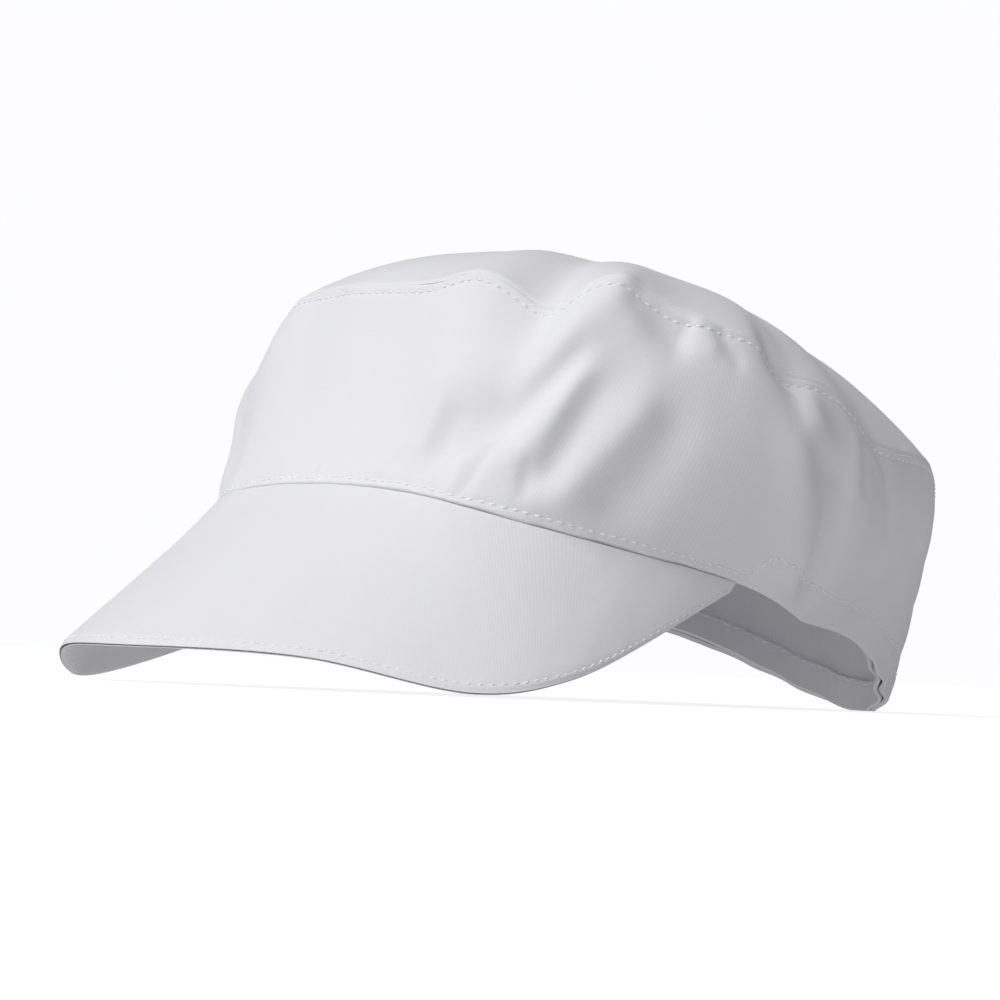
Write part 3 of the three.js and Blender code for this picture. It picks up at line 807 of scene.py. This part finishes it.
def stitch_row(name, line, outward, pitch=STITCH_PITCH):
    """Stitches along a line of points, in millimetres, on the side that outward points to."""
    run = run_along(line)
    count = int(run[-1] / pitch)
    draws = np.random.default_rng(len(line))
    at = (np.arange(count) + 0.5) * run[-1] / count + draws.normal(0, STITCH_JITTER, count)

    def sample(table, where):
        return np.stack([np.interp(where, run, table[:, k]) for k in range(3)], -1)

    ahead = unit(sample(line, at + HEADING_REACH) - sample(line, at - HEADING_REACH))
    aside = unit(np.cross(unit(sample(outward, at)), ahead))
    out = unit(np.cross(ahead, aside))
    ahead = unit(ahead + STITCH_SLANT * aside)
    centre = sample(line, at) + STITCH_LIFT * out
    x, y, z = (stitch_spots[None, :, k : k + 1] for k in range(3))
    spots = centre[:, None] + x * out[:, None] + y * aside[:, None] + z * ahead[:, None]
    faces = [[v + k * len(stitch_spots) for v in face] for k in range(count) for face in stitch_faces]
    mesh = bpy.data.meshes.new(name)
    mesh.from_pydata((spots.reshape(-1, 3) * MM + SHIFT).tolist(), [], faces)
    row = bpy.data.objects.new(name, mesh)
    bpy.context.collection.objects.link(row)
    select_only(row)
    bpy.ops.object.mode_set(mode="EDIT")
    bpy.ops.mesh.select_all(action="SELECT")
    bpy.ops.mesh.normals_make_consistent(inside=False)
    bpy.ops.object.mode_set(mode="OBJECT")
    bpy.ops.object.shade_smooth()
    mesh.uv_layers.new(name="flat")
    mesh.materials.append(thread)
    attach(row, "root")
    print(name, count, "stitches")


# %% [markdown]
# The rows follow the finished panels. The hem's row slants down to the visor's seam at both corners, and its
# other side shows on the hem inside the cap.

# %% The seams' stitches
CORNER_SLANT, CORNER_POINTS, BAND_TRIM = 0.15, 40, 4
from_corner, to_corner = CORNER + CORNER_SLANT, STATIONS - CORNER - CORNER_SLANT
corner_stations = np.linspace(CORNER, from_corner, CORNER_POINTS)
corner_heights = np.linspace(SEAM_ROW, HEM_ROW, CORNER_POINTS)
for name, stations, above, pitch in (
    ("top_seam_stitches", np.linspace(0, STATIONS, 900), PANEL_HEIGHT - TOP_ROW, STITCH_PITCH),
    ("visor_seam_stitches", np.linspace(-CORNER, CORNER, 600), SEAM_ROW, STITCH_PITCH),
    ("hem_stitches", np.linspace(from_corner, to_corner, 600), HEM_ROW, STITCH_PITCH),
    ("left_corner_stitches", corner_stations, corner_heights, CORNER_PITCH),
    ("right_corner_stitches", -corner_stations, corner_heights, CORNER_PITCH),
):
    heights = np.full_like(stations, above / PANEL_HEIGHT)
    stitch_row(name, side_point(stations, heights), side_normals(stations, heights), pitch)

inner_stations = band_stations[BAND_TRIM:-BAND_TRIM]
inner_line = band_points[band_heights.index(BAND_ROW), BAND_TRIM:-BAND_TRIM]
inward = -normals(crown_point, inner_stations, np.full_like(inner_stations, BAND_ROW / PANEL_HEIGHT))
stitch_row("inner_hem_stitches", inner_line, inward)

# %% The visor's stitches
VISOR_STITCH_END, STITCH_DEPTH = 0.96, 0.78
across = np.linspace(-VISOR_STITCH_END, VISOR_STITCH_END, 500)
ahead = 1 - VISOR_ROW / visor_reach(across)
down = visor_down(across, ahead)
for name, side, node_name in (
    ("visor_edge_stitches", -1, "visor_upper"),
    ("visor_under_stitches", 1, "visor_under"),
):
    line = visor_point(across, ahead) + down * (HALF_THICK + side * STITCH_DEPTH)
    stitch_row(name, line, down * side)

# %% [markdown]
# ## Each piece rides on the one body
# Every sheet of cloth rides on the one body, and the CAD solid that it stands for is hidden.

for piece, node_name, _ in PANELS:
    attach(piece, "root")
    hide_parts(node_name)
    print(piece.name, "stands for", node_name)

# %% [markdown]
# ## Floor, camera and light
# The photograph is cut out on white. So the floor glows almost white to the camera, and lights the cap from
# below more softly than that. The camera looks from the photograph's side, only 8 mm above the floor, so that
# the visor's underside shows.

# %% Floor
FLOOR_SIZE, FLOOR_GREY = 60, 0.3
FLOOR_SEEN, FLOOR_GLOW = 0.82, 0.36
deselect()
bpy.ops.mesh.primitive_plane_add(size=FLOOR_SIZE, location=(0, 0, 0))
floor = bpy.context.object
floor.name = "floor"
floor_paint = bpy.data.materials.new("floor_paint")
floor_paint.use_nodes = True
floor_tree = floor_paint.node_tree
floor_shader = floor_tree.nodes["Principled BSDF"]
floor_shader.inputs["Base Color"].default_value = (FLOOR_GREY, FLOOR_GREY, FLOOR_GREY, 1)
floor_shader.inputs["Roughness"].default_value = 1
floor_shader.inputs["Specular IOR Level"].default_value = 0
floor_shader.inputs["Emission Strength"].default_value = 1
seen = Wire(floor_tree).node("ShaderNodeLightPath")
glow = seen * (FLOOR_SEEN - FLOOR_GLOW) + FLOOR_GLOW
floor_tree.links.new(glow.socket, floor_shader.inputs["Emission Color"])
floor.data.materials.append(floor_paint)
print("floor", FLOOR_SIZE, "m wide")

# %% Camera
AZIMUTH, ELEVATION, ROLL = math.radians(50.9), math.radians(-1.75), math.radians(2.47)
DISTANCE, PIXELS_PER_METRE = 1.7, 3736.0
AIM = Vector((0, 0.058, 0.06)) + Vector(SHIFT.tolist())
# The picture's side and the place of the aim in it, in pixels
IMAGE_SIDE, AIM_RIGHT, AIM_DOWN = 1000, 485.4, 471.6
SENSOR, FARTHEST = 36, 50


def direction(azimuth, elevation):
    flat = math.cos(elevation)
    return Vector((math.sin(azimuth) * flat, -math.cos(azimuth) * flat, math.sin(elevation)))


back = direction(AZIMUTH, ELEVATION)
right = Vector((math.cos(AZIMUTH), math.sin(AZIMUTH), 0))
up = back.cross(right)
rolled_right = math.cos(ROLL) * right + math.sin(ROLL) * up
rolled_up = -math.sin(ROLL) * right + math.cos(ROLL) * up
camera_data = bpy.data.cameras.new("camera")
camera = bpy.data.objects.new("camera", camera_data)
bpy.context.collection.objects.link(camera)
camera.location = AIM + back * DISTANCE
camera.rotation_euler = Matrix((rolled_right, rolled_up, back)).transposed().to_euler()
camera_data.sensor_width = SENSOR
camera_data.lens = PIXELS_PER_METRE * DISTANCE / IMAGE_SIDE * SENSOR
camera_data.shift_x = (IMAGE_SIDE / 2 - AIM_RIGHT) / IMAGE_SIDE
camera_data.shift_y = (AIM_DOWN - IMAGE_SIDE / 2) / IMAGE_SIDE
camera_data.clip_end = FARTHEST
bpy.context.scene.camera = camera
print("camera", round(camera.location.z * 1000), "mm above the floor, lens", round(camera_data.lens), "mm")

# %% [markdown]
# Three distant soft lights. The key light comes from the front, so the front of the cap is bright and its side
# falls into a soft grey, as in the photograph. The low light reaches under the visor, and the top light keeps
# the crown's top clear.

# %% Light
LAMP_DISTANCE = 2
# name, azimuth, elevation, spread, strength
LAMPS = [
    ("key_light", -4, 43, 50, 2.08),
    ("low_light", 38, 2, 40, 0.42),
    ("top_light", 60, 78, 60, 0.28),
]
for name, azimuth, elevation, spread, strength in LAMPS:
    towards = direction(math.radians(azimuth), math.radians(elevation))
    data = bpy.data.lights.new(name, "SUN")
    data.angle, data.energy = math.radians(spread), strength
    lamp = bpy.data.objects.new(name, data)
    lamp.location = towards * LAMP_DISTANCE
    lamp.rotation_euler = towards.to_track_quat("Z", "Y").to_euler()
    bpy.context.collection.objects.link(lamp)
print("lamps", [lamp[0] for lamp in LAMPS])

# %% Background
FILL, BACKDROP = 0.2, 1.0
world = bpy.data.worlds.new("studio")
world.use_nodes = True
bpy.context.scene.world = world
sky = world.node_tree.nodes["Background"]
sky.inputs["Color"].default_value = (0.985, 0.985, 1, 1)
seen = Wire(world.node_tree).node("ShaderNodeLightPath")
world.node_tree.links.new((seen * (BACKDROP - FILL) + FILL).socket, sky.inputs["Strength"])
bpy.context.scene.view_settings.view_transform = "Standard"
print("background", BACKDROP, "to the camera,", FILL, "to the cap")
